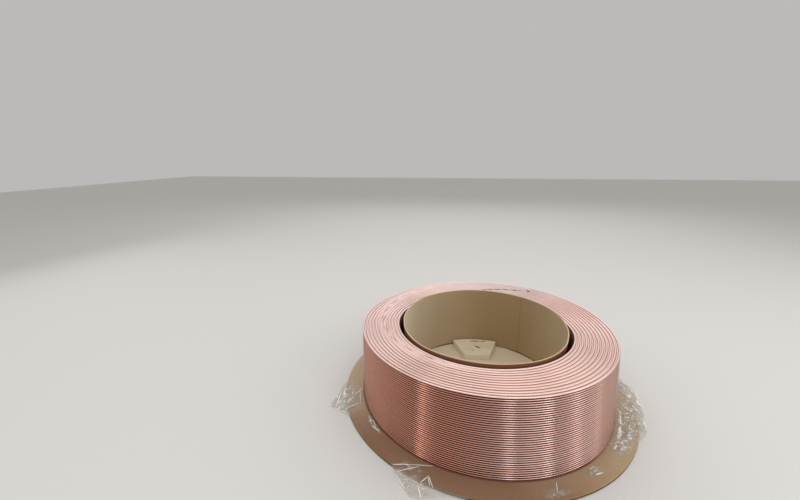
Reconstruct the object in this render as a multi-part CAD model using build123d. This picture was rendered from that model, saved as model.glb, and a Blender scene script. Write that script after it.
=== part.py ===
from build123d import *
import os
from math import cos, radians, sin, sqrt, tan

# A coil of small copper tube, wound in level layers and standing on end on a round board.
# Millimetres, +Z up. The origin is on the floor, under the middle of the board.

# Tube and winding
tube_diameter = 7.0        # outside diameter of the copper tube
turns_high = 37            # turns one above the other in a full layer
layer_count = 23           # layers from the bore to the outside, every second one full
coil_bore = 670.0          # inside diameter of the innermost layer

# Paperboard sleeve that stands loosely in the winding's bore
core_clearance = 15.5      # between the sleeve and the winding when both are centred
core_wall = 4.0            # thickness of the sleeve
core_rise = 6.0            # how far the sleeve stands above the winding
core_shift = 4.0           # how far the sleeve has slid towards +Y

# Round board under everything
board_margin = 70.0        # how far the board reaches past the winding
board_thickness = 8.0
board_edge_ease = 1.5      # eased corners of the board's rim

# Clear film between the board and what stands on it
film_thickness = 0.2
film_inset = 3.0           # from the board's rim to the flat film's edge

# Flat block on the film, near the sleeve's far wall: a slice of a ring with its tip sawn off
block_thickness = 24.0
block_angle = 39.0         # degrees between its two straight sides
block_front = 160.0        # from the winding's axis to the sawn front
block_gap = 16.0           # between the block's round back and the sleeve
block_bearing = 7.6        # degrees to the left of +Y
block_edge_ease = 1.5      # eased corners of its top

# Sizes that follow
layer_pitch = tube_diameter * sqrt(3) / 2    # each layer lies in the grooves of the one below
coil_radius = coil_bore / 2 + tube_diameter + (layer_count - 1) * layer_pitch
coil_height = turns_high * tube_diameter
board_radius = coil_radius + board_margin
floor_level = board_thickness + film_thickness    # what the winding, sleeve and block stand on
core_outer_radius = coil_bore / 2 - core_clearance
core_inner_radius = core_outer_radius - core_wall
block_back_radius = core_inner_radius + core_shift - block_gap


def winding_end(end_level, inward):
    """Crests of the layers at one end, from the bore outwards. A full layer reaches end_level and the layers
    between, which hold one turn fewer, stop half a tube short of it. inward is -1 at the top, 1 at the bottom."""
    recess = inward * tube_diameter / 2
    crests = []
    for layer in range(layer_count):
        radius = coil_bore / 2 + tube_diameter / 2 + layer * layer_pitch
        level = end_level if layer % 2 == 0 else end_level + recess
        crests.append((radius, level))
    shoulder = end_level + recess
    return [(coil_bore / 2, shoulder)] + crests + [(coil_radius, shoulder)]


def tube_coil():
    """The winding as one turned ring, with the crests of its layers as ridges on both ends."""
    bottom = winding_end(floor_level, 1)
    top = winding_end(floor_level + coil_height, -1)
    outline = bottom + top[::-1]
    with BuildPart() as coil:
        with BuildSketch(Plane.XZ):
            with BuildLine():
                Polyline(*outline, close=True)
            make_face()
        revolve(axis=Axis.Z)
    return coil.part


def core_sleeve():
    """The hollow sleeve, standing on the film and slid off centre."""
    with BuildPart() as sleeve:
        with BuildSketch(Plane((0, core_shift, floor_level))):
            Circle(core_outer_radius)
            Circle(core_inner_radius, mode=Mode.SUBTRACT)
        extrude(amount=coil_height + core_rise)
    return sleeve.part


def base_board():
    """The round board, with both corners of its rim eased."""
    with BuildPart() as board:
        with BuildSketch():
            Circle(board_radius)
        extrude(amount=board_thickness)
        chamfer(board.edges().filter_by(GeomType.CIRCLE), board_edge_ease)
    return board.part


def film_sheet():
    """The flat part of the film, on the board and under everything else."""
    with BuildPart() as film:
        with BuildSketch(Plane.XY.offset(board_thickness)):
            Circle(board_radius - film_inset)
        extrude(amount=film_thickness)
    return film.part


def locating_block():
    """The flat block: straight sides that point at the winding's axis, a round back and a sawn front."""
    half_angle = radians(block_angle / 2)
    front_x = block_front * tan(half_angle)
    back_x = block_back_radius * sin(half_angle)
    back_y = block_back_radius * cos(half_angle)
    with BuildPart() as block:
        with BuildSketch(Plane.XY.offset(floor_level)):
            with BuildLine():
                Polyline((-back_x, back_y), (-front_x, block_front), (front_x, block_front), (back_x, back_y))
                ThreePointArc((back_x, back_y), (0, block_back_radius), (-back_x, back_y))
            make_face()
        extrude(amount=block_thickness)
        chamfer(block.faces().sort_by(Axis.Z)[-1].edges(), block_edge_ease)
    return block.part.rotate(Axis.Z, block_bearing)


os.makedirs("parts", exist_ok=True)
export_step(tube_coil(), "parts/tube_coil.step")
export_step(core_sleeve(), "parts/core_sleeve.step")
export_step(base_board(), "parts/base_board.step")
export_step(film_sheet(), "parts/film_sheet.step")
export_step(locating_block(), "parts/locating_block.step")
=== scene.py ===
import math

import bpy
import numpy as np
from mathutils import Matrix, Vector


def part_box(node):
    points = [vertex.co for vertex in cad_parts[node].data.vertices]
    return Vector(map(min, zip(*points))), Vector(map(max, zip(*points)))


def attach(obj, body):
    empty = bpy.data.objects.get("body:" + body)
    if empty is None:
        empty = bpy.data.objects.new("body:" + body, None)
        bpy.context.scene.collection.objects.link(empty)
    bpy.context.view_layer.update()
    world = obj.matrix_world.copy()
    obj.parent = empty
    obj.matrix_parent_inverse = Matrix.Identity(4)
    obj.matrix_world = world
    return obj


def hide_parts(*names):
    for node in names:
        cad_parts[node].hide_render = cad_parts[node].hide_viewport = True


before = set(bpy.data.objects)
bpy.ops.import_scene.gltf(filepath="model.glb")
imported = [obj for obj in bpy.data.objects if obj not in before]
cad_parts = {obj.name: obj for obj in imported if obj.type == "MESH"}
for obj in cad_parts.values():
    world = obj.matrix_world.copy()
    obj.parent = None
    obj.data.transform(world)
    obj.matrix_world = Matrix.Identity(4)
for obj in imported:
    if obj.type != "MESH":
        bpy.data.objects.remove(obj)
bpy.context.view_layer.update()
coilLow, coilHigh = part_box("tube_coil")
sleeveLow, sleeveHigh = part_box("core_sleeve")
boardLow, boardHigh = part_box("base_board")
filmLow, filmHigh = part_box("film_sheet")
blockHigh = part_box("locating_block")[1]
print("frame loaded:", ", ".join(sorted(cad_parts)))

# sizes are in metres and angles in degrees, unless a name or a note says otherwise

camera = {
    "back": 1.453,          # from the winding's axis, along the floor
    "up": 0.926,            # above the winding's foot
    "turn": -12.94,         # from looking along +Y, left is negative
    "dip": 8.535,           # below the horizon
    "roll": -0.477,
    "focalPixels": 377.03,
    "axisRow": 208.56,      # the row of the picture that the lens axis meets
    "width": 800,           # of the picture, in pixels
    "height": 500,
    "sensor": 36,           # millimetres
    "clip": (0.02, 60),
}


def addCamera(c):
    turn, dip, roll = (math.radians(c[k]) for k in ("turn", "dip", "roll"))
    forward = Vector((math.sin(turn) * math.cos(dip), math.cos(turn) * math.cos(dip), -math.sin(dip)))
    level = Vector((math.cos(turn), -math.sin(turn), 0))
    upright = level.cross(forward)
    right = math.cos(roll) * level + math.sin(roll) * upright
    above = math.cos(roll) * upright - math.sin(roll) * level
    bpy.ops.object.camera_add()
    cam = bpy.context.object
    cam.name = "photoCamera"
    cam.matrix_world = Matrix((right, above, -forward)).transposed().to_4x4()
    cam.location = (0, -c["back"], coilLow.z + c["up"])
    cam.data.sensor_width = c["sensor"]
    cam.data.lens = c["sensor"] * c["focalPixels"] / c["width"]
    cam.data.shift_y = (c["axisRow"] - c["height"] / 2) / c["width"]
    cam.data.clip_start, cam.data.clip_end = c["clip"]
    bpy.context.scene.camera = cam


addCamera(camera)
print("camera set")


# working on meshes

weld = 0.0001     # points closer together than this are made one


def startPiece():
    if bpy.context.object and bpy.context.object.mode != "OBJECT":
        bpy.ops.object.mode_set(mode="OBJECT")
    bpy.ops.object.select_all(action="DESELECT")


def namePiece(name):
    piece = bpy.context.object
    piece.name = piece.data.name = name
    bpy.ops.object.transform_apply(location=True, rotation=True, scale=True)
    return piece


def selectAll():
    bpy.ops.mesh.select_all(action="SELECT")


def editMesh(mode="EDGE"):
    bpy.ops.object.mode_set(mode="EDIT")
    bpy.ops.mesh.select_mode(type=mode)
    selectAll()


def objectMode():
    bpy.ops.object.mode_set(mode="OBJECT")


def standPlane(name, inside, outside, bottom, top):
    # an upright rectangle beside the axis, the start of what is spun round it
    startPiece()
    bpy.ops.mesh.primitive_plane_add(size=1, location=((inside + outside) / 2, 0, (bottom + top) / 2),
                                     rotation=(math.pi / 2, 0, 0))
    bpy.context.object.scale = (outside - inside, top - bottom, 1)
    return namePiece(name)


def spinRound(steps):
    # takes all of the outline once round the axis and closes it where it meets itself
    selectAll()
    bpy.ops.mesh.spin(steps=steps, angle=math.tau, center=(0, 0, 0), axis=(0, 0, 1))
    selectAll()
    bpy.ops.mesh.remove_doubles(threshold=weld)
    bpy.ops.mesh.normals_make_consistent(inside=False)
    objectMode()


def pick(piece, mode, test):
    # goes to edit mode with only the points or edges selected that pass the test
    editMesh(mode)
    bpy.ops.mesh.select_all(action="DESELECT")
    objectMode()
    mesh = piece.data
    for part in {"VERT": mesh.vertices, "EDGE": mesh.edges}[mode]:
        part.select = test(part)
    bpy.ops.object.mode_set(mode="EDIT")


def applyModifiers(piece):
    bpy.context.view_layer.objects.active = piece
    for modifier in list(piece.modifiers):
        bpy.ops.object.modifier_apply(modifier=modifier.name)


def readPoints(piece):
    flat = np.empty(len(piece.data.vertices) * 3, np.float32)
    piece.data.vertices.foreach_get("co", flat)
    return flat.reshape(-1, 3).astype(float)


def writePoints(piece, points):
    piece.data.vertices.foreach_set("co", points.astype(np.float32).ravel())
    piece.data.update()


def setDown(piece, material, node):
    piece.data.materials.clear()
    piece.data.materials.append(material)
    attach(piece, "root")
    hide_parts(node)


# finishes: shader maths written as Python expressions

class Wire:
    def __init__(self, finish, socket):
        self.finish, self.socket = finish, socket

    def maths(self, operation, other=None, swapped=False):
        pair = {0: other, 1: self} if swapped else {0: self, 1: other}
        return self.finish.add("ShaderNodeMath", {"operation": operation},
                               {k: v for k, v in pair.items() if v is not None})

    def __add__(self, other):
        return self.maths("ADD", other)

    def __radd__(self, other):
        return self.maths("ADD", other, True)

    def __sub__(self, other):
        return self.maths("SUBTRACT", other)

    def __rsub__(self, other):
        return self.maths("SUBTRACT", other, True)

    def __mul__(self, other):
        return self.maths("MULTIPLY", other)

    def __truediv__(self, other):
        return self.maths("DIVIDE", other)

    def __pow__(self, other):
        return self.maths("POWER", other)


class Finish:
    def __init__(self, name):
        self.material = bpy.data.materials.new(name)
        self.material.use_nodes = True
        self.tree = self.material.node_tree
        self.tree.nodes.clear()

    def add(self, kind, settings=None, sockets=None, out=0):
        node = self.tree.nodes.new(kind)
        for key, value in (settings or {}).items():
            setattr(node, key, value)
        for key, value in (sockets or {}).items():
            if isinstance(value, Wire):
                self.tree.links.new(value.socket, node.inputs[key])
            else:
                node.inputs[key].default_value = value
        return Wire(self, node.outputs[out]) if len(node.outputs) else None

    def place(self):
        spot = self.add("ShaderNodeTexCoord", out="Object")
        split = self.add("ShaderNodeSeparateXYZ", sockets={0: spot})
        outputs = split.socket.node.outputs
        return [Wire(self, outputs[i]) for i in range(3)]

    def vector(self, x, y, z):
        return self.add("ShaderNodeCombineXYZ", sockets={0: x, 1: y, 2: z})

    def grain(self, spot, size, detail, roughness, extra=None):
        settings = {"noise_dimensions": "4D" if extra else "3D"}
        sockets = {"Vector": spot, "Scale": 1 / size, "Detail": detail, "Roughness": roughness}
        if extra:
            sockets["W"] = extra
        return self.add("ShaderNodeTexNoise", settings, sockets)

    def ramp(self, value, low, high, bottom=0.0, top=1.0):
        return self.add("ShaderNodeMapRange", {"interpolation_type": "SMOOTHSTEP"},
                        {0: value, 1: low, 2: high, 3: bottom, 4: top})

    def past(self, value, edge, distances, bottom=0.0, top=1.0):
        # a ramp between two distances from an edge
        return self.ramp(value, *(edge + distance for distance in distances), bottom, top)

    def blend(self, mask, *tones):
        # from the first tone to the second, each of them a wire or a picture colour
        first, second = (tone if isinstance(tone, Wire) else paint(*tone) for tone in tones)
        return self.add("ShaderNodeMix", {"data_type": "RGBA"}, {0: mask, 6: first, 7: second}, out=2)

    def mark(self, name):
        return self.add("ShaderNodeAttribute", {"attribute_name": name}, out="Fac")

    def bump(self, height, strength, distance):
        sockets = {"Strength": strength, "Distance": distance, "Height": height}
        return self.add("ShaderNodeBump", sockets=sockets)

    def surface(self, sockets):
        shader = self.add("ShaderNodeBsdfPrincipled", sockets=sockets)
        self.add("ShaderNodeOutputMaterial", sockets={0: shader})
        return self.material


def paint(red, green, blue):
    # picture colour, 0 to 255, to the linear colour that a shader takes
    return tuple((c / 255 / 12.92) if c < 10.3 else ((c / 255 + 0.055) / 1.055) ** 2.4
                 for c in (red, green, blue)) + (1.0,)


noiseSpan = (0.35, 0.65)     # where most values of a noise lie


def larger(first, second):
    # the larger of two wires, or the second where there is no first yet
    return second if first is None else first.maths("MAXIMUM", second)


def fromAxis(x, y):
    return (x * x + y * y) ** 0.5


def towards(x, y, way):
    # how far a place lies that way from the axis
    return x * way[0] + y * way[1]


# the winding

tube = {
    "turnsHigh": 37,
    "layers": 23,
    "slack": 0.00002,                                 # off the radius, which keeps neighbours apart
    "shownAngles": (-90, -60, -30, 0, 30, 60, 90),    # round the section, closer on the side that shows
    "hiddenAngles": (130, 180, 230),
    # where the top has sunk: bearing clockwise from +Y, half its width, depths at the bore and the outside
    "sunken": [(-55, 55, 0.0060, 0.0105), (-5, 38, 0.0, 0.0050), (75, 30, 0.0080, 0.0)],
    # how far the bore lies inside its true circle, by bearing from +Y, the same to the left and the right
    "drawnIn": [(0, 0.0050), (40, 0.0070), (60, 0.0090), (80, 0.0088), (90, 0.0066), (105, 0.0036),
                (120, 0.0018), (150, 0.0004), (180, 0.0)],
}
tubeDiameter = (coilHigh.z - coilLow.z) / tube["turnsHigh"]
tubeRadius = tubeDiameter / 2
layerPitch = tubeDiameter * math.sqrt(3) / 2
coilRadius = coilHigh.x
boreRadius = coilRadius - tubeDiameter - (tube["layers"] - 1) * layerPitch


def layerRadius(layer):
    return boreRadius + tubeRadius + layer * layerPitch


def ease(share):
    share = np.clip(share, 0, 1)
    return share * share * (3 - 2 * share)


def near(value, middle, reach):
    # 1 at the middle, falling smoothly to 0 at the reach
    return ease(1 - abs(value - middle) / reach)


def slump(x, y, z):
    # how far a place in the winding has moved inwards and downwards
    bearing = np.degrees(np.arctan2(x, y))
    outward = np.clip((np.hypot(x, y) - boreRadius) / (coilRadius - boreRadius), 0, 1)
    inwards = (1 - outward) * np.interp(abs(bearing), *zip(*tube["drawnIn"]))
    down = 0
    for middle, reach, deep, far in tube["sunken"]:
        down = down + near(bearing, middle, reach) * (deep + (far - deep) * ease(outward))
    return inwards, down * np.clip((z - coilLow.z) / (coilHigh.z - coilLow.z), 0, 1)


def sway(turn, size, seed):
    # a slow wander along the tube, made of waves that don't meet themselves after a whole turn
    waves = ((0.37, 0.5), (1.71, 0.3), (4.13, 0.15), (9.77, 0.05))    # how many to a turn, and their size
    total = 0
    for number, (rate, share) in enumerate(waves):
        total = total + share * np.sin(math.tau * rate * turn + seed * (3.1 + number))
    return size * total


def mark(piece, name, values):
    layer = piece.data.attributes.new(name, "FLOAT", "POINT")
    layer.data.foreach_set("value", np.asarray(values, np.float32).ravel())


def layMap(piece, sides, steps, row, rows):
    # each turn is one strip of the piece's map: along it to the right, round the section upwards
    mesh = piece.data
    start = np.empty(len(mesh.polygons), np.int32)
    count = np.empty(len(mesh.polygons), np.int32)
    vertex = np.empty(len(mesh.loops), np.int32)
    mesh.polygons.foreach_get("loop_start", start)
    mesh.polygons.foreach_get("loop_total", count)
    mesh.loops.foreach_get("vertex_index", vertex)
    face = np.repeat(np.arange(len(start)), count)
    step, side = vertex // sides, vertex % sides
    turn = np.minimum.reduceat(step, start)[face] // steps
    closing = (side == 0) & (np.maximum.reduceat(side, start)[face] == sides - 1)
    side = np.where(closing, sides, side)
    strip = np.clip(row + turn, 0, rows - 1)
    spots = np.stack([step / steps - turn, (strip + side / sides) / rows], axis=-1)
    layer = mesh.uv_layers.new(name="OFBake")
    layer.data.foreach_set("uv", spots.astype(np.float32).ravel())


def windTube(name, steps, firstTurn, lastTurn, opens, turned, place, row=0, rows=None):
    # a round section is screwed up along the axis, then each section is set where place(turn) puts it
    # opens is the way that the tube shows, and turned how its section lies, both up from outwards
    sides = len(tube["shownAngles"]) + len(tube["hiddenAngles"])
    count = round((lastTurn - firstTurn) * steps)
    startPiece()
    bpy.ops.mesh.primitive_circle_add(vertices=sides, radius=tubeRadius, location=(coilRadius, 0, 0),
                                      rotation=(math.pi / 2, 0, 0))
    piece = namePiece(name)
    wind = piece.modifiers.new("wind", "SCREW")
    wind.angle = math.tau * (lastTurn - firstTurn)
    wind.steps = wind.render_steps = count
    wind.screw_offset = tubeDiameter * (lastTurn - firstTurn)
    applyModifiers(piece)
    turns = np.linspace(firstTurn, lastTurn, count + 1)
    radius, height = place(turns)
    section = np.radians(np.array(tube["shownAngles"] + tube["hiddenAngles"]) + turned)
    girth = tubeRadius - tube["slack"]
    out = radius[:, None] + girth * np.cos(section)
    up = height[:, None] + girth * np.sin(section)
    angle = (math.tau * turns)[:, None]
    middle = radius[:, None]
    inwards, down = slump(middle * np.cos(angle), middle * np.sin(angle), height[:, None])
    out = out - inwards
    points = np.stack([out * np.cos(angle), out * np.sin(angle), up - down], axis=-1)
    writePoints(piece, points.reshape(-1, 3))
    mark(piece, "below", coilHigh.z - up)      # how far below the top, if nothing had sunk
    # crest is 1 where the tube shows and 0 at its neighbours, and lean is 1 on top of it and -1 below
    mark(piece, "crest", np.ones_like(out) * np.cos(section - math.radians(opens)))
    mark(piece, "lean", np.ones_like(out) * np.sin(section))
    mark(piece, "along", np.ones_like(out) * (turns * math.tau * coilRadius + row)[:, None])
    editMesh()
    bpy.ops.mesh.select_all(action="DESELECT")
    bpy.ops.mesh.select_non_manifold()
    bpy.ops.mesh.edge_face_add()
    selectAll()
    bpy.ops.mesh.normals_make_consistent(inside=False)
    objectMode()
    layMap(piece, sides, steps, row, rows or math.ceil(lastTurn - firstTurn))
    bpy.ops.object.shade_smooth()
    return piece


def joinPieces(name, members):
    bpy.ops.object.select_all(action="DESELECT")
    for member in members:
        member.select_set(True)
    bpy.context.view_layer.objects.active = members[0]
    bpy.ops.object.join()
    piece = bpy.context.object
    piece.name = piece.data.name = name
    return piece


outer = {
    "stepsPerTurn": 240,
    "stepTurn": 0.200,       # where on the ring each turn steps up to the next, in turns from +X
    "step": 0.03,            # share of a turn that the step takes
    "short": 0.028,          # share of a turn that is missing at the tube's end
    "sway": 0.00018,
}
bore = {"stepsPerTurn": 144, "stepTurn": 0.12, "step": 0.03, "short": 0.039}


def climbing(turn, layer):
    # height of the tube's middle in a layer that goes round level, with one short step up in each turn
    level = turn - layer["stepTurn"]
    whole = np.floor(level)
    climb = ease((level - whole - 1 + layer["step"]) / layer["step"])
    rise = np.clip(whole + climb, 0, tube["turnsHigh"] - 1)
    return coilLow.z + tubeRadius + rise * tubeDiameter


def outerPlace(turn):
    radius = layerRadius(tube["layers"] - 1) - outer["sway"] * 2 + sway(turn, outer["sway"], 1)
    return radius, climbing(turn, outer) + sway(turn, outer["sway"] / 3, 2)


def borePlace(turn):
    return np.full_like(turn, layerRadius(0)), climbing(turn, bore)


ends = {
    "topSteps": 240,
    "bottomSteps": 120,
    "firstCross": 0.70,      # where the innermost pair of layers crosses over, in turns from +X
    "crossSlide": -0.037,    # how far round each next pair crosses over
    "step": 0.028,           # share of a turn that a crossing takes
    "early": 0.6,            # share of a step by which a layer is left before the one below comes up
    "spare": 0.03,           # share of a turn that shows below the end, before and after
    "levelling": 0.10,       # share of a turn beside a crossing in which the layers lie level
    "fill": 0.30,            # how far a recessed turn comes up there, in tube diameters
    "settle": 0.12,          # how far a full turn sinks there
    "swayUp": 0.00022,
    "swayOut": 0.00022,
}


def pairPlace(pair, end, sign):
    # a full layer's last turn comes up from the turn below, goes round, crosses outwards into the
    # recessed layer beside it, goes round again and dives to that layer's next turn
    e = ends
    cross = e["firstCross"] + pair * e["crossSlide"]
    full, recessed = layerRadius(2 * pair), layerRadius(2 * pair + 1)

    def place(turn):
        gone = turn - cross
        climb = ease(gone / e["step"])
        across = ease((gone - 1) / e["step"] + e["early"])
        dive = ease((gone - 2) / e["step"] + e["early"])
        # in tube diameters below the end: 1.5, then 0.5 when it is up, 1 in the recess and 2 after it
        start, middle, last = (near(gone, spot, e["levelling"]) for spot in (0, 1, 2))
        sunk = 1.5 - climb + across / 2 + dive
        sunk = sunk - e["fill"] * across * (1 - dive) * (middle + last)
        sunk = sunk + e["settle"] * climb * (1 - across) * (start + middle)
        drop = sunk * tubeDiameter + e["swayUp"] + sway(turn, e["swayUp"], pair + 3)
        return full + (recessed - full) * across + sway(turn, e["swayOut"], pair + 40), end - sign * drop
    return cross, place


def makeEnd(name, end, sign, steps):
    # sign is 1 for the top and -1 for the bottom, and each pair of layers takes three strips of the map
    members = []
    pairs, opens = (tube["layers"] - 1) // 2, 90 * sign
    for pair in range(pairs):
        cross, place = pairPlace(pair, end, sign)
        first, last = cross - ends["spare"], cross + 2 + ends["spare"]
        turns = windTube(f"{name}{pair}", steps, first, last, opens, opens, place, pair * 3, pairs * 3)
        members.append(turns)
    return joinPieces(name, members)


heart = {
    "steps": 144,
    "sides": 0.6,     # where its walls stand in the first and last layer, in tube radii from their middles
    "ends": 0.8,      # how far its ends lie inside the winding's, in tube diameters
}


def makeHeart():
    # the layers that never show, as one plain ring between those that do
    inside = layerRadius(0) + tubeRadius * heart["sides"]
    outside = layerRadius(tube["layers"] - 1) - tubeRadius * heart["sides"]
    short = tubeDiameter * heart["ends"]
    piece = standPlane("hiddenLayers", inside, outside, coilLow.z + short, coilHigh.z - short)
    editMesh("FACE")
    bpy.ops.mesh.delete(type="ONLY_FACE")
    spinRound(heart["steps"])
    points = readPoints(piece)
    inwards, down = slump(*points.T)
    points[:, :2] *= 1 - (inwards / np.hypot(points[:, 0], points[:, 1]))[:, None]
    points[:, 2] -= down
    writePoints(piece, points)
    return piece


def blot(f, x, y, spots, full=0.6, none=1.3):
    # 1 inside any of the ovals and 0 outside, changing between two shares of their squared size
    most = None
    for across, along, length, width, turn in spots:
        c, s = math.cos(math.radians(turn)), math.sin(math.radians(turn))
        u = ((x - across) * c + (y - along) * s) / length
        v = ((y - along) * c - (x - across) * s) / width
        most = larger(most, f.ramp(u * u + v * v, full, none, 1.0, 0.0))
    return most


copperLook = {
    # one copper for ends and sides; grooveShade is painted shade between the turns, pale on the ends, deep
    # red on the sides
    "end": {"light": (246, 222, 217), "dull": (240, 211, 205), "grooveShade": (208, 166, 155)},
    "side": {"light": (243, 216, 207), "dull": (240, 207, 195), "grooveShade": (130, 44, 26)},
    "warmReflection": {"light": (240, 175, 152), "dull": (237, 168, 144), "grooveShade": (94, 34, 22)},
    "endOpen": (0.00, 0.44),     # crest where a turn of the ends takes its painted groove shade fully, and where none
    "sideOpen": (0.50, 0.88),
    "sideLean": (-0.02, 0.24),   # lean below which a turn of the side takes painted shade on its underside, and above which none
    "endRough": 0.34,
    "sideRough": 0.16,
    "roughChange": 0.04,         # how much the roughness changes along the tube
    "warmWay": (-0.423, -0.906),     # the way from the axis to where the side has its warmest painted reflection tone
    "warmFrom": (0.80, 0.985),       # how far that way it begins and is full, in winding radii
    # quarters with a painted reflection tone of their own: the way to their middle, the cosines of the
    # angles from it where they begin and are full, the tone, and how little the painted groove shade shows
    # there
    "reflectedQuarters": {
        "end": [((0.10, 0.995), (0.72, 0.97), (221, 201, 196), 0.3),
                ((0.35, -0.937), (0.0, 0.95), (242, 212, 202), 0.0),
                ((0.866, 0.500), (0.925, 0.985), (240, 208, 200), 0.6)],
        "side": [((-0.940, -0.342), (0.70, 0.86), (184, 131, 113), 0.8),
                 ((0.985, -0.174), (0.80, 0.88), (191, 151, 136), 0.85)],
    },
    "lid": (0.0024, 0.0012),     # below the top, where the outermost turn takes the end's tone
    "inner": (0.05, -0.15),      # crest below which a turn's inner half takes it too
    "innerShare": 0.8,
    "foot": (0.0045, 0.0020),    # from the bottom up, where the lowest turn is lit by what it stands on
    "footShadeLeft": 0.3,             # how much of its painted groove shade is left there
    "topFrom": (-0.030, -0.026), # from the top, where its own marks begin
    # a place among the top's turns with less of the painted groove shade: place, length, width and turn,
    # and how soft its border is
    "smooth": [(-0.367, 0.098, 0.085, 0.032, 75)],
    "smoothEdge": (0.3, 1.6),
    "smoothShare": 0.75,         # of the painted groove shade that it takes away
    # painted shadow of a gap beside a turn at the back of the top: bearings and distances from the axis of
    # its ends, half its width and the full share of that, and the shares of its length where it has come in
    # and begins to fade
    "slit": {"bearings": (-2, 26), "from": 0.352, "to": 0.418, "half": 0.0075, "full": 0.4},
    "slitFade": (0.1, 0.93),
    "slitShadeTone": (138, 80, 70),
    "slitFlank": (0.80, 1.06),   # crest where a turn takes the slit's painted shadow, and where it has none
    "slitEnd": [(0.2085, 0.3761, 0.0090, 0.0036, -29)],    # the painted shade of the hollow at its end, as the smooth place
    "slitHollowShade": (84, 48, 42),
    "streak": 0.30,              # length of the slow changes along the tube
    # the fine lines that drawing left along the tube: size, and what of it counts along and across
    "dieLines": {"size": 0.006, "along": 0.12, "across": 0.05, "strength": 0.015, "deep": 0.0003},
}


def reflectedTone(f, x, y, tone, reflectedQuarters):
    # the tone with the painted reflection tones of the quarters over it, and how much the painted groove
    # shade shows
    shown = None
    for way, borders, ownTone, even in reflectedQuarters:
        mask = f.ramp(towards(x, y, way) / fromAxis(x, y), *borders)
        tone = f.blend(mask, tone, ownTone)
        left = 1 - mask * even
        shown = left if shown is None else shown * left
    return tone, shown


def slitLine(f, x, y):
    # 1 along the line of painted shadow, thin towards both ends
    slit, (fadeIn, fadeOut) = copperLook["slit"], copperLook["slitFade"]
    first, last = (math.radians(bearing) for bearing in slit["bearings"])
    share = (x.maths("ARCTAN2", y) - first) / (last - first)
    off = fromAxis(x, y) - slit["from"] - share * (slit["to"] - slit["from"])
    line = f.ramp(off.maths("ABSOLUTE"), slit["half"], slit["half"] * slit["full"])
    return line * f.ramp(share, 0.0, fadeIn) * f.ramp(share, 1.0, fadeOut)


def endTone(f, x, y, z, metal, crest):
    c = copperLook
    onTop = f.past(z, coilHigh.z, c["topFrom"])
    smooth = blot(f, x, y, c["smooth"], *c["smoothEdge"]) * onTop
    # painted shade in the grooves between the turns
    shadeMask = f.ramp(crest, *c["endOpen"], 1.0, 0.0) * (1 - smooth * c["smoothShare"])
    light, even = reflectedTone(f, x, y, metal["end"], c["reflectedQuarters"]["end"])
    tone = f.blend(shadeMask * even, light, c["end"]["grooveShade"])
    # painted shadow of the gap at the back of the top, and of the hollow at its end
    flank = f.ramp(crest, *c["slitFlank"], 1.0, 0.0)
    tone = f.blend(slitLine(f, x, y) * onTop * flank, tone, c["slitShadeTone"])
    return f.blend(blot(f, x, y, c["slitEnd"]) * onTop, tone, c["slitHollowShade"])


def sideTone(f, x, y, z, metal, crest, lean, lid):
    c = copperLook
    # painted shade in the grooves, and under each turn of the side
    shadeMask = larger(f.ramp(crest, *c["sideOpen"], 1.0, 0.0), f.ramp(lean, *c["sideLean"], 1.0, 0.0))
    # a warmer, darker painted reflection on the front-left of the side
    warmReflection = f.ramp(towards(x, y, c["warmWay"]) / coilRadius, *c["warmFrom"])
    metalTone = f.blend(warmReflection, metal["side"], metal["warmReflection"])
    light, even = reflectedTone(f, x, y, metalTone, c["reflectedQuarters"]["side"])
    dark = f.blend(warmReflection, c["side"]["grooveShade"], c["warmReflection"]["grooveShade"])
    shadeMask = shadeMask * f.past(z, coilLow.z, c["foot"], 1.0, c["footShadeLeft"]) * even
    return f.blend(lid, f.blend(shadeMask, light, dark), metal["end"])


def copperFinish(name, isEnd, metallic=1.0):
    f = Finish(name)
    c = copperLook
    x, y, z = f.place()
    crest, lean, along = (f.mark(mark) for mark in ("crest", "lean", "along"))
    streak = f.ramp(f.grain(f.vector(along, 0.0, 0.0), c["streak"], 3, 0.6), *noiseSpan)
    metal = {face: f.blend(streak, c[face]["light"], c[face]["dull"]) for face in ("end", "side", "warmReflection")}
    if isEnd:
        lid, rough = 0.0, c["endRough"]
        tone = endTone(f, x, y, z, metal, crest)
    else:
        inner = f.ramp(crest, *c["inner"]) * c["innerShare"]
        lid, rough = larger(f.ramp(f.mark("below"), *c["lid"]), inner), c["sideRough"]
        tone = sideTone(f, x, y, z, metal, crest, lean, lid)
    die = c["dieLines"]
    spot = f.vector(along * die["along"], crest * die["across"], lean * die["across"])
    return f.surface({
        "Base Color": tone,
        "Metallic": metallic,
        "Roughness": rough + lid * (c["endRough"] - rough) + (streak - 0.5) * c["roughChange"],
        "Normal": f.bump(f.grain(spot, die["size"], 2, 0.6), die["strength"], die["deep"]),
    })


def makeCoil():
    endCopper = copperFinish("copperEnds", True)
    sideCopper = copperFinish("copperSides", False)
    boreCopper = copperFinish("copperBore", False, 0.6)
    start = outer["stepTurn"] - outer["step"]
    last = outer["stepTurn"] + tube["turnsHigh"] - outer["short"]
    outerLayer = windTube("outerLayer", outer["stepsPerTurn"], start, last, 0, 30, outerPlace)
    setDown(outerLayer, sideCopper, "tube_coil")
    start = bore["stepTurn"]
    last = start + tube["turnsHigh"] - bore["short"]
    boreLayer = windTube("boreLayer", bore["stepsPerTurn"], start, last, 180, 180, borePlace)
    setDown(boreLayer, boreCopper, "tube_coil")
    topTurns = makeEnd("topTurns", coilHigh.z, 1, ends["topSteps"])
    setDown(topTurns, endCopper, "tube_coil")
    bottomTurns = makeEnd("bottomTurns", coilLow.z, -1, ends["bottomSteps"])
    setDown(bottomTurns, endCopper, "tube_coil")
    setDown(makeHeart(), endCopper, "tube_coil")


makeCoil()
print("winding made")


# the sleeve

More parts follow.
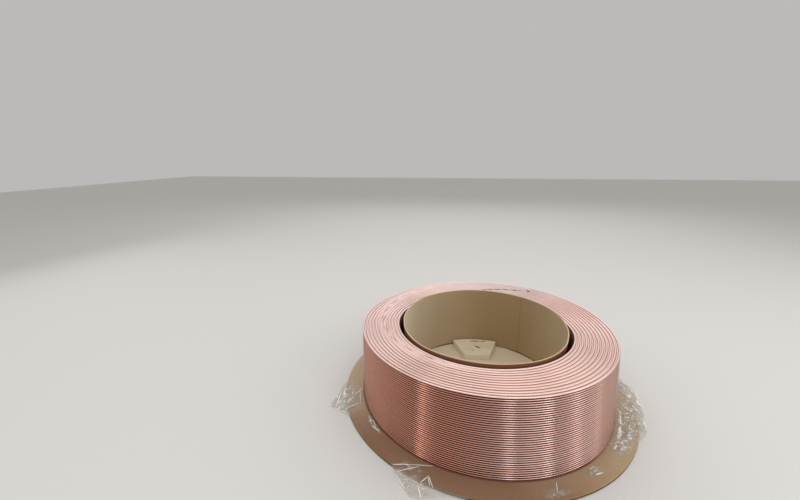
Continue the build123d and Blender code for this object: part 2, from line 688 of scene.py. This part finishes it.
sleeve = {
    "columns": 216,
    "rows": 24,
    # how far the rim stands out of round, by bearing from +Y, the same to the left and the right
    "rimOut": [(0, 0.0030), (20, 0.0030), (45, 0.0020), (60, 0.0005), (75, -0.0030), (90, -0.0051),
               (108, -0.0036), (115, 0.0002), (122, 0.0026), (129, 0.0050), (143, 0.0080), (150, 0.0072),
               (164, 0.0052), (180, 0.0051)],
    "footRadius": 0.3055,     # the foot is drawn in, and stands a little to the left
    "footShift": (-0.008, 0.002),
    "seamAngle": 58.3,        # the inner ply's upright edge, from +X
    "seamLean": 2.2,          # how much less that is at the foot
    "seamWide": 0.0006,       # share of the way round between the two columns of points there
    "plyStep": 0.0007,        # how far the inner ply's edge stands out
    "edgeRound": 0.0010,
    "edgeSteps": 3,
    "sharpFrom": 35,          # edges sharper than this are shaded as edges
    # how dark the painted shadow line along the foot is, by the share of the way round from the seam, to
    # the left
    "footShadowLine": [(0, 1.0), (0.012, 0.8), (0.035, 0.15), (0.13, 0.15), (0.15, 0.6), (0.165, 1.0),
                 (0.21, 1.0), (0.23, 0.1), (0.905, 0.1), (0.935, 1.0), (1, 1.0)],
    # how light the inner wall is painted, from painted shade to painted light, by the same share
    "paintedWallLight": [(0, 0.0), (0.08, 0.0), (0.205, 0.3), (0.33, 1.0), (0.45, 1.0), (0.70, 0.7), (0.85, 0.36),
             (0.93, 0.12), (1, 0.0)],
}


def sleeveWall(centre):
    # the sleeve's outside radius and wall, read from its node
    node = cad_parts["core_sleeve"]
    reaches = [math.hypot(v.co.x - centre.x, v.co.y - centre.y) for v in node.data.vertices]
    return max(reaches), max(reaches) - min(reaches)


def makeSleeve():
    s = sleeve
    centre = (sleeveLow + sleeveHigh) / 2
    outside, wall = sleeveWall(centre)
    piece = standPlane("coreSleeve", outside - wall, outside, sleeveLow.z, sleeveHigh.z)
    editMesh("VERT")
    bpy.ops.mesh.bevel(affect="VERTICES", offset=s["edgeRound"], segments=s["edgeSteps"])
    selectAll()
    bpy.ops.mesh.delete(type="ONLY_FACE")
    objectMode()
    # the two long edges get the rows
    levels = [v.co.z for v in piece.data.vertices]
    tall = (sleeveHigh.z - sleeveLow.z) / 2
    pick(piece, "EDGE", lambda edge: abs(levels[edge.vertices[0]] - levels[edge.vertices[1]]) > tall)
    bpy.ops.mesh.subdivide(number_cuts=s["rows"])
    spinRound(s["columns"])
    points = readPoints(piece)
    radius = np.hypot(points[:, 0], points[:, 1])
    column = np.round(np.arctan2(points[:, 1], points[:, 0]) / math.tau * s["columns"]) % s["columns"]
    # the columns are spread again, so that two of them stand close together at the seam
    share = np.where(column == s["columns"] - 1, 1 - s["seamWide"], column / (s["columns"] - 1))
    inner = np.clip((outside - radius) / wall, 0, 1)
    height = (points[:, 2] - sleeveLow.z) / (sleeveHigh.z - sleeveLow.z)
    angle = math.radians(s["seamAngle"]) + math.tau * share - math.radians(s["seamLean"]) * (1 - height)
    bearing = abs((90 - np.degrees(angle) + 180) % 360 - 180)
    rim = outside + np.interp(bearing, *zip(*s["rimOut"]))
    middle = s["footRadius"] + (rim - s["footRadius"]) * height
    radius = middle - inner * wall + inner * s["plyStep"] * (share - 0.5)
    points[:, 0] = centre.x + s["footShift"][0] * (1 - height) + radius * np.cos(angle)
    points[:, 1] = centre.y + s["footShift"][1] * (1 - height) + radius * np.sin(angle)
    writePoints(piece, points)
    mark(piece, "inner", inner)
    mark(piece, "paintedWallLight", np.interp(share, *zip(*s["paintedWallLight"])))
    mark(piece, "footShadowLine", np.interp(share, *zip(*s["footShadowLine"])))
    mark(piece, "seam", (column == 0) | (column == s["columns"] - 1))
    bpy.ops.object.shade_smooth_by_angle(angle=math.radians(s["sharpFrom"]))
    return piece


paperLook = {
    # painted light and painted shade of the inner wall, each as two tones mixed by the clouds
    "light": ((212, 200, 176), (199, 186, 160)),
    "shade": ((167, 142, 106), (156, 130, 94)),
    "rim": (208, 188, 152),
    # the outside's darker brown is partly its own kraft and partly painted shade of the narrow gap it faces
    "outside": (147, 93, 66),
    "outsideTo": (0.25, 0.05),       # depth where that ends, and where it is full, in walls
    # tone of the painted shadow along the foot, also of the dark seam
    "foot": (80, 56, 30),
    "cloud": 0.35,                   # size of the clouds and of the fibres, and what of it counts upright
    "fibre": 0.006,
    "upright": (0.4, 0.35),
    "mix": (0.8, 0.2),               # how much of each is in the tone
    "footShadowLine": (0.0068, 0.0027),    # above the foot, where its painted shadow line begins and is full
    "footShade": (0.0040, 0.0005),   # and the painted shade all round under it
    "footShadeDark": 0.7,
    "seamDark": 0.18,
    "rimFrom": (-0.0011, -0.0004),   # from the rim, where its tone begins and is full
    "rough": 0.62,
    "bump": (0.12, 0.0006),          # strength and depth
}


def paperFinish():
    f = Finish("paperboard")
    c = paperLook
    x, y, z = f.place()
    cloud = f.grain(f.vector(x, y, z * c["upright"][0]), c["cloud"], 2, 0.5)
    fibre = f.grain(f.vector(x, y, z * c["upright"][1]), c["fibre"], 4, 0.65)
    mask = f.ramp(cloud * c["mix"][0] + fibre * c["mix"][1], *noiseSpan)
    # the inner wall goes from painted shade to painted light round its way
    board = f.blend(f.mark("paintedWallLight"), f.blend(mask, *c["shade"]), f.blend(mask, *c["light"]))
    # painted shadow along the foot, and the dark seam
    foot = f.past(z, sleeveLow.z, c["footShadowLine"]) * f.mark("footShadowLine")
    foot = larger(foot, f.past(z, sleeveLow.z, c["footShade"]) * c["footShadeDark"])
    foot = larger(foot, f.ramp(f.mark("seam"), 0.5, 1.0) * c["seamDark"])
    board = f.blend(foot, board, c["foot"])
    board = f.blend(f.ramp(f.mark("inner"), *c["outsideTo"]), board, c["outside"])
    return f.surface({
        "Base Color": f.blend(f.past(z, sleeveHigh.z, c["rimFrom"]), board, c["rim"]),
        "Roughness": c["rough"],
        "Normal": f.bump(fibre, *c["bump"]),
    })


setDown(makeSleeve(), paperFinish(), "core_sleeve")
print("sleeve made")


# the board and the block keep their solids and get their finish

boardLook = {
    "light": (190, 164, 134),
    "rightLight": (184, 156, 118),
    "rightFrom": (0.0, 0.35),        # X where the light tone begins to turn into it, and has
    "dark": (142, 104, 73),
    "shadedSide": (-0.214, -0.977),    # the way from the middle to where the board's painted shade is darkest
    "shadedFrom": (0.24, 0.50),        # how far that way the painted shade begins and is full
    "darkWander": 0.16,              # how far the clouds draw its border out of line
    "inside": (218, 202, 172),
    "insideTo": (-0.004, 0.010),     # from the bore, where the inside's tone is full and ends
    "foot": (112, 50, 35),           # painted contact shadow and reddish reflection round the winding's foot
    "footWide": (0.006, 0.001),      # from the winding, where it ends and is full
    "footPast": (0.400, 0.300),      # from here to +X it is faint, and up to here it is full
    "footShare": (0.15, 0.85),       # how much of it shows there
    "rimTo": (-0.0020, -0.0010),     # from the top, where the rim's tone is full and ends
    "rimLine": (60, 42, 28),
    "rimFoot": (120, 108, 76),
    "rimFootUp": (0.0030, 0.0045),   # above the underside, where the rim's foot changes to its line
    "cloud": 0.13,
    "fibre": 0.0035,
    "fleckFrom": (0.45, 0.75),
    "fleck": 0.08,                   # how dark the fibres are
    "roughFrom": (0.3, 0.7),
    "rough": (0.48, 0.62),
    "bump": (0.06, 0.0005),
}


def boardFinish():
    f = Finish("fibreboard")
    c = boardLook
    x, y, z = f.place()
    radius = fromAxis(x, y)
    spot = f.vector(x, y, z)
    cloud = f.grain(spot, c["cloud"], 3, 0.55)
    fibre = f.grain(spot, c["fibre"], 3, 0.7)
    # painted shade, darkest towards the front-left
    away = towards(x, y, c["shadedSide"]) + (cloud - 0.5) * c["darkWander"]
    light = f.blend(f.ramp(x, *c["rightFrom"]), c["light"], c["rightLight"])
    wornAndShaded = f.blend(f.ramp(away, *c["shadedFrom"]), light, c["dark"])
    wornAndShaded = f.blend(f.ramp(fibre, *c["fleckFrom"], 0.0, c["fleck"]), wornAndShaded, c["dark"])
    # painted contact shadow round the winding's foot, fainter towards +X
    stainAndShadow = f.past(radius, coilRadius, c["footWide"]) * f.ramp(x, *c["footPast"], *c["footShare"])
    wornAndShaded = f.blend(stainAndShadow, wornAndShaded, c["foot"])
    top = f.blend(f.past(radius, boreRadius, c["insideTo"]), c["inside"], wornAndShaded)
    side = f.blend(f.past(z, boardLow.z, c["rimFootUp"]), c["rimFoot"], c["rimLine"])
    return f.surface({
        "Base Color": f.blend(f.past(z, boardHigh.z, c["rimTo"]), side, top),
        "Roughness": f.ramp(cloud, *c["roughFrom"], *c["rough"]),
        "Normal": f.bump(fibre, *c["bump"]),
    })


blockLook = {
    "light": (223, 210, 180),
    "dark": (209, 193, 160),
    # the sides are painted paler than the top, for the light that falls on them
    "side": (224, 217, 196),
    "edge": (234, 224, 197),
    "knot": (64, 48, 32),
    "stainAndShadow": (118, 96, 58),
    "topFrom": (-0.0016, -0.0001),   # from the top, where its own marks begin and are full
    "edgeFrom": (-0.0030, -0.0012),  # and the same of the paler band along the top of the sides
    "edgeShare": 0.8,
    "cloud": 0.05,                   # size of the clouds and of the fibres, and what of it counts along X
    "fibre": 0.003,
    "drawn": (0.5, 0.2),
    "mix": (0.7, 0.3),               # how much of each is in the tone
    "mixFrom": (0.35, 0.68),
    # dark knot, small hole and two smudges: place on the top, length, width, turn
    "knots": [(-0.0208, 0.2272, 0.0150, 0.0048, -36), (-0.0425, 0.1923, 0.0032, 0.0032, 0)],
    "smudges": [(-0.0361, 0.2785, 0.0240, 0.0060, 5), (0.0036, 0.2851, 0.0120, 0.0050, 10)],
    "smudgeShare": 0.75,
    "ragged": (0.006, 0.004),        # length of their borders' wander, and how wide it is
    "rough": 0.65,
    "bump": (0.15, 0.0006),
}


def blockFinish():
    f = Finish("paleWood")
    c = blockLook
    x, y, z = f.place()
    cloud = f.grain(f.vector(x * c["drawn"][0], y, z), c["cloud"], 3, 0.6)
    fibre = f.grain(f.vector(x * c["drawn"][1], y, z), c["fibre"], 3, 0.6)
    mask = f.ramp(cloud * c["mix"][0] + fibre * c["mix"][1], *c["mixFrom"])
    board = f.blend(mask, c["light"], c["dark"])
    top, edge = f.past(z, blockHigh.z, c["topFrom"]), f.past(z, blockHigh.z, c["edgeFrom"])
    # painted light on the sides, and a paler band along their top
    board = f.blend(1 - edge, board, c["side"])
    board = f.blend(edge * (1 - top) * c["edgeShare"], board, c["edge"])
    wander = (f.grain(f.vector(x, y, z), c["ragged"][0], 2, 0.6) - 0.5) * c["ragged"][1]
    x, y = x + wander, y + wander
    board = f.blend(blot(f, x, y, c["smudges"]) * top * c["smudgeShare"], board, c["stainAndShadow"])
    board = f.blend(blot(f, x, y, c["knots"]) * top, board, c["knot"])
    return f.surface({
        "Base Color": board,
        "Roughness": c["rough"],
        "Normal": f.bump(fibre, *c["bump"]),
    })


def finishNode(name, material):
    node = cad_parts[name]
    node.data.materials.clear()
    node.data.materials.append(material)


finishNode("base_board", boardFinish())
finishNode("locating_block", blockFinish())
print("board and block finished")


# the film

film = {
    "columns": 150,
    "flatRings": 3,
    "looseRings": 12,
    "looseFrom": 0.4700,      # inside this the film lies pressed flat
    "thickness": 0.00014,
    "scatter": 0.38,          # how far a fold's corner lies off its place, in steps of the mesh
    "fold": 0.0065,           # height of the folds where the film is crumpled
    "flat": 0.0002,           # and elsewhere
    "stayLow": 1.3,           # above 1, more of the corners stay low
    "freeFrom": 0.006,        # past the flat part, where the folds begin, and over how long they get full
    "freeOver": 0.012,
    "fall": 0.030,            # length in which a flap comes down to the floor
    "offFloor": 0.0004,       # kept between a flap and the floor
    "seed": 7,
    # reach of the sheet from the axis, by bearing clockwise from +Y
    "reach": [(0, 0.532), (40, 0.526), (68, 0.536), (72, 0.550), (76, 0.577), (80, 0.590),
              (85, 0.587), (93, 0.575), (101, 0.568), (107, 0.569), (111, 0.556), (116, 0.537),
              (140, 0.530), (165, 0.538), (180, 0.541), (184, 0.550), (189, 0.552), (192, 0.572),
              (195, 0.592), (198, 0.598), (201, 0.582), (205, 0.562), (208, 0.545), (212, 0.530),
              (232, 0.526), (236, 0.548), (239, 0.563), (242, 0.590), (245, 0.613), (247, 0.593),
              (250, 0.574), (256, 0.562), (259, 0.548), (263, 0.532), (300, 0.526)],
    # crumpled places: bearing, half its width, distance from the axis, half its depth, strength
    "crumpled": [(112, 13, 0.505, 0.026, 1.0), (92, 20, 0.555, 0.040, 0.7), (78, 7, 0.575, 0.020, 0.8),
                 (247, 11, 0.570, 0.045, 0.6), (249, 9, 0.520, 0.030, 0.4), (228, 5, 0.487, 0.008, 0.8),
                 (200, 8, 0.565, 0.032, 0.5), (202, 6, 0.515, 0.018, 0.3), (156, 4, 0.525, 0.020, 0.5),
                 (139, 4, 0.503, 0.016, 0.5)],
}


def filmReach(angle):
    bearing = (90 - np.degrees(angle)) % 360
    places = np.array([p[0] for p in film["reach"]], float)
    lengths = np.array([p[1] for p in film["reach"]])
    return np.interp(bearing, places, lengths, period=360)


def crumple(x, y):
    # how crumpled the film is at a place, 0 to 1
    bearing, out = (90 - np.degrees(np.arctan2(y, x))) % 360, np.hypot(x, y)
    total = np.zeros_like(x)
    for middle, wide, distance, deep, strength in film["crumpled"]:
        off = (bearing - middle + 180) % 360 - 180
        total += strength * np.exp(-(off / wide) ** 2 - ((out - distance) / deep) ** 2)
    return np.clip(total, 0, 1)


def makeFilm():
    s = film
    mid = (filmLow.z + filmHigh.z) / 2
    rings = s["flatRings"] + s["looseRings"]
    # one radius, a metre long, is cut into the rings and spun, and then all points are set in place
    piece = standPlane("filmSheet", 0, 1, mid - 0.5, mid + 0.5)
    pick(piece, "VERT", lambda vertex: vertex.co.z < mid)
    bpy.ops.mesh.delete(type="VERT")
    selectAll()
    bpy.ops.mesh.subdivide(number_cuts=rings - 1)
    selectAll()
    bpy.ops.transform.translate(value=(0, 0, -0.5))
    spinRound(s["columns"])
    points = readPoints(piece)
    rng = np.random.default_rng(s["seed"])
    angle = np.arctan2(points[:, 1], points[:, 0])
    ring = np.round(np.hypot(points[:, 0], points[:, 1]) * rings)
    inside = (ring > s["flatRings"]) & (ring < rings)
    angle = angle + inside * rng.uniform(-1, 1, len(ring)) * s["scatter"] * math.tau / s["columns"]
    ring = ring + inside * rng.uniform(-1, 1, len(ring)) * s["scatter"]
    reach = filmReach(angle)
    outside = (ring - s["flatRings"]) / s["looseRings"]
    along = np.where(ring <= s["flatRings"], ring / s["flatRings"] * s["looseFrom"],
                     s["looseFrom"] + outside * (reach - s["looseFrom"]))
    over = np.clip(along - boardHigh.x, 0, None)
    drop = (mid - s["thickness"] - s["offFloor"]) * ease(over / s["fall"])
    x, y = along * np.cos(angle), along * np.sin(angle)
    free = ease((along - s["looseFrom"] - s["freeFrom"]) / s["freeOver"])
    lift = free * (s["flat"] + (s["fold"] - s["flat"]) * crumple(x, y))
    height = mid - drop + lift * rng.uniform(0, 1, len(ring)) ** s["stayLow"]
    writePoints(piece, np.stack([x, y, height], axis=-1))
    editMesh("FACE")
    bpy.ops.mesh.quads_convert_to_tris(quad_method="SHORTEST_DIAGONAL")
    objectMode()
    mark(piece, "crumpled", crumple(x, y))
    thicken = piece.modifiers.new("thicken", "SOLIDIFY")
    thicken.thickness = s["thickness"]
    thicken.offset = 0
    applyModifiers(piece)
    bpy.ops.object.shade_flat()
    return piece


filmLook = {
    # length along the rim, width across it, a seed and the share of them painted as whole glints
    "cells": [(0.030, 0.0070, 1.0, 0.012), (0.0085, 0.020, 5.0, 0.0)],
    "rimRadius": 0.54,               # where the lengths along the rim are true
    "wander": 0.020,                 # how far the cells are drawn out of line
    "patch": 0.028,                  # size of the places with and without folds
    "foldWide": (0.10, 0.03),        # width of a fold's painted glint line and of its full part, in cells
    "foldFrom": (0.55, 0.63),        # where a patch begins to have folds and where they are full
    "shineFull": 0.6,                # share of the glint cells that are painted fully white
    # painted glint lines along sharp folds: bearing and distance from the axis of each end, half its width
    "glintFolds": [(243, 0.587, 251, 0.565, 0.0016), (243, 0.546, 247, 0.517, 0.0015),
              (247, 0.517, 253, 0.477, 0.0012), (240, 0.554, 242, 0.498, 0.0014),
              (252, 0.492, 240, 0.498, 0.0010), (247, 0.593, 256, 0.562, 0.0012),
              (243, 0.595, 238, 0.554, 0.0014), (245, 0.575, 249, 0.535, 0.0009),
              (233, 0.4856, 228.6, 0.4891, 0.0012), (229.9, 0.4780, 225.2, 0.4882, 0.0012),
              (227, 0.4953, 222.6, 0.4887, 0.0013), (224.8, 0.4860, 221.6, 0.4895, 0.0009),
              (208, 0.545, 203, 0.511, 0.0016), (203, 0.511, 196, 0.479, 0.0012),
              (205, 0.555, 200, 0.501, 0.0013), (197, 0.551, 196, 0.521, 0.0014),
              (196, 0.521, 194, 0.547, 0.0011), (196, 0.516, 193, 0.549, 0.0012),
              (197, 0.562, 195, 0.586, 0.0018), (205, 0.562, 200, 0.583, 0.0014),
              (154, 0.489, 156, 0.521, 0.0010), (157, 0.535, 154, 0.541, 0.0012),
              (140, 0.490, 137, 0.492, 0.0014), (137, 0.517, 140, 0.512, 0.0016),
              (102, 0.491, 109, 0.494, 0.0018), (109, 0.494, 116, 0.489, 0.0015),
              (113, 0.496, 118, 0.495, 0.0026), (118, 0.497, 121, 0.491, 0.0014),
              (93, 0.503, 98, 0.525, 0.0011), (98, 0.488, 102, 0.498, 0.0011),
              (107, 0.516, 110, 0.518, 0.0014), (121, 0.509, 122, 0.517, 0.0010),
              (76, 0.577, 85, 0.585, 0.0016), (84, 0.588, 93, 0.573, 0.0014),
              (101, 0.566, 107, 0.567, 0.0014)],
    "grey": (216, 210, 198),
    "glint": (254, 252, 246),
    "shownFrom": (0.05, 0.75),       # how crumpled the film is where its cells begin to show, and fully do
    "pastRim": (-0.002, 0.004),      # from the board's rim, where a flap begins to show, and fully does
    # how much of the smooth film shows, and what crumpled places, their cells, painted glints and flaps add
    # to it
    "clear": 0.03,
    "veil": 0.16,
    "haze": 0.42,
    "glints": 0.9,
    "flap": 0.12,
    "rough": 0.12,
    "bump": (0.35, 0.004),
}


def paintedGlintLines(f, x, y, glintFolds):
    # 1 along the painted glint lines of the sharp folds, which run thin towards their ends
    most = None
    for bearing, distance, lastBearing, lastDistance, half in glintFolds:
        a, b = math.radians(bearing), math.radians(lastBearing)
        start = Vector((distance * math.sin(a), distance * math.cos(a)))
        run = Vector((lastDistance * math.sin(b), lastDistance * math.cos(b))) - start
        long = run.length
        run.normalize()
        along = ((x - start.x) * run.x + (y - start.y) * run.y) / long
        off = ((y - start.y) * run.x - (x - start.x) * run.y).maths("ABSOLUTE")
        wide = (along * (1 - along)).maths("MAXIMUM", 0.0) ** 0.5 * half * 2
        most = larger(most, off.maths("LESS_THAN", wide))
    return most


def filmFinish():
    # the painted glint lines of the folds are the borders of two sets of long cells, one set along the rim
    # and one across it
    f = Finish("clearFilm")
    c = filmLook
    x, y, z = f.place()
    spot = f.vector(x, y, z)
    wander = [(f.grain(spot, c["patch"], 2, 0.5, seed) - 0.5) * c["wander"] for seed in (2.0, 9.0)]
    out, around = fromAxis(x, y), x.maths("ARCTAN2", y) * c["rimRadius"]
    patch = f.grain(spot, c["patch"], 2, 0.6)
    glint, grey = None, None
    for along, across, seed, shining in c["cells"]:
        place = f.vector((out + wander[0]) / across, (around + wander[1]) / along, seed)
        cell = {"Vector": place, "Scale": 1.0}
        edge = f.add("ShaderNodeTexVoronoi", {"feature": "DISTANCE_TO_EDGE"}, cell)
        colour = f.add("ShaderNodeTexVoronoi", {}, cell, out="Color")
        tone = f.add("ShaderNodeSeparateColor", sockets={0: colour})
        line = f.ramp(edge, *c["foldWide"]) * f.ramp(patch, *c["foldFrom"])
        # some whole cells are painted as glints
        if shining:
            line = larger(line, f.ramp(tone, 1 - shining, 1 - shining * c["shineFull"]))
        glint = larger(glint, line)
        grey = tone if grey is None else grey * tone
        patch = 1 - patch
    past = f.past(out, boardHigh.x, c["pastRim"])
    shown = f.ramp(f.mark("crumpled"), *c["shownFrom"])
    # painted glints: white fold lines and whole cells
    glints = larger(glint * shown, paintedGlintLines(f, x, y, c["glintFolds"]))
    return f.surface({
        "Base Color": f.blend(glints, c["grey"], c["glint"]),
        "Roughness": c["rough"],
        "Alpha": c["clear"] + shown * (grey * c["haze"] + c["veil"]) + glints * c["glints"] + past * c["flap"],
        "Normal": f.bump(grey, *c["bump"]),
    })


filmPiece = makeFilm()
setDown(filmPiece, filmFinish(), "film_sheet")
print("film made")


# floor, lamps and background

stage = {
    "floor": (222, 220, 216),
    "floorSize": 24.0,
    "floorRough": 0.7,
    "background": (0.50, 0.49, 0.48, 1),
}


def makeStage():
    startPiece()
    bpy.ops.mesh.primitive_plane_add(size=stage["floorSize"], location=(0, 0, 0))
    floor = namePiece("floor")
    f = Finish("floorPaint")
    paintwork = {"Base Color": paint(*stage["floor"]), "Roughness": stage["floorRough"]}
    floor.data.materials.append(f.surface(paintwork))
    world = bpy.context.scene.world or bpy.data.worlds.new("World")
    bpy.context.scene.world = world
    world.use_nodes = True
    sky = world.node_tree.nodes["Background"].inputs
    sky["Color"].default_value = stage["background"]
    sky["Strength"].default_value = 1.0


# name, bearing clockwise from +Y, distance from the axis, height, its own width and height, and how
# bright it looks, where 1 is white
lamps = [
    ("overhead", 180, 0.6, 3.2, (3.0, 3.0), 0.94),
    ("behind", -3, 4.0, 3.2, (5.6, 2.8), 0.87),
    ("rightPanel", 88, 3.0, 1.9, (3.4, 2.6), 0.67),
    ("farStrip", 87, 2.8, 1.9, (0.14, 2.6), 1.5),
    ("sideStrip", 109, 3.0, 1.8, (0.26, 2.8), 1.6),
    ("rightStrip", 132, 3.0, 1.8, (0.30, 2.8), 2.4),
    ("fillStrip", 144, 3.0, 1.8, (0.60, 2.8), 0.45),
    ("frontStrip", 159, 3.0, 1.8, (0.30, 2.8), 1.5),
    ("leftStrip", -136, 3.0, 1.8, (0.30, 2.8), 2.2),
    ("leftPanel", -84, 3.0, 1.8, (2.8, 2.8), 0.50),
]


def addLamps():
    aim = Vector((0, 0, coilHigh.z / 2))
    for name, bearing, away, up, (width, height), bright in lamps:
        startPiece()
        turn = math.radians(bearing)
        spot = Vector((away * math.sin(turn), away * math.cos(turn), up))
        bpy.ops.object.light_add(type="AREA", location=spot)
        light = bpy.context.object
        light.name = name
        light.data.shape = "RECTANGLE"
        light.data.size, light.data.size_y = width, height
        light.data.energy = bright * math.pi * width * height
        light.visible_camera = False
        light.rotation_euler = (aim - spot).to_track_quat("-Z", "Y").to_euler()


makeStage()
addLamps()
bpy.context.scene.view_settings.view_transform = "Standard"
print("stage and lamps set")
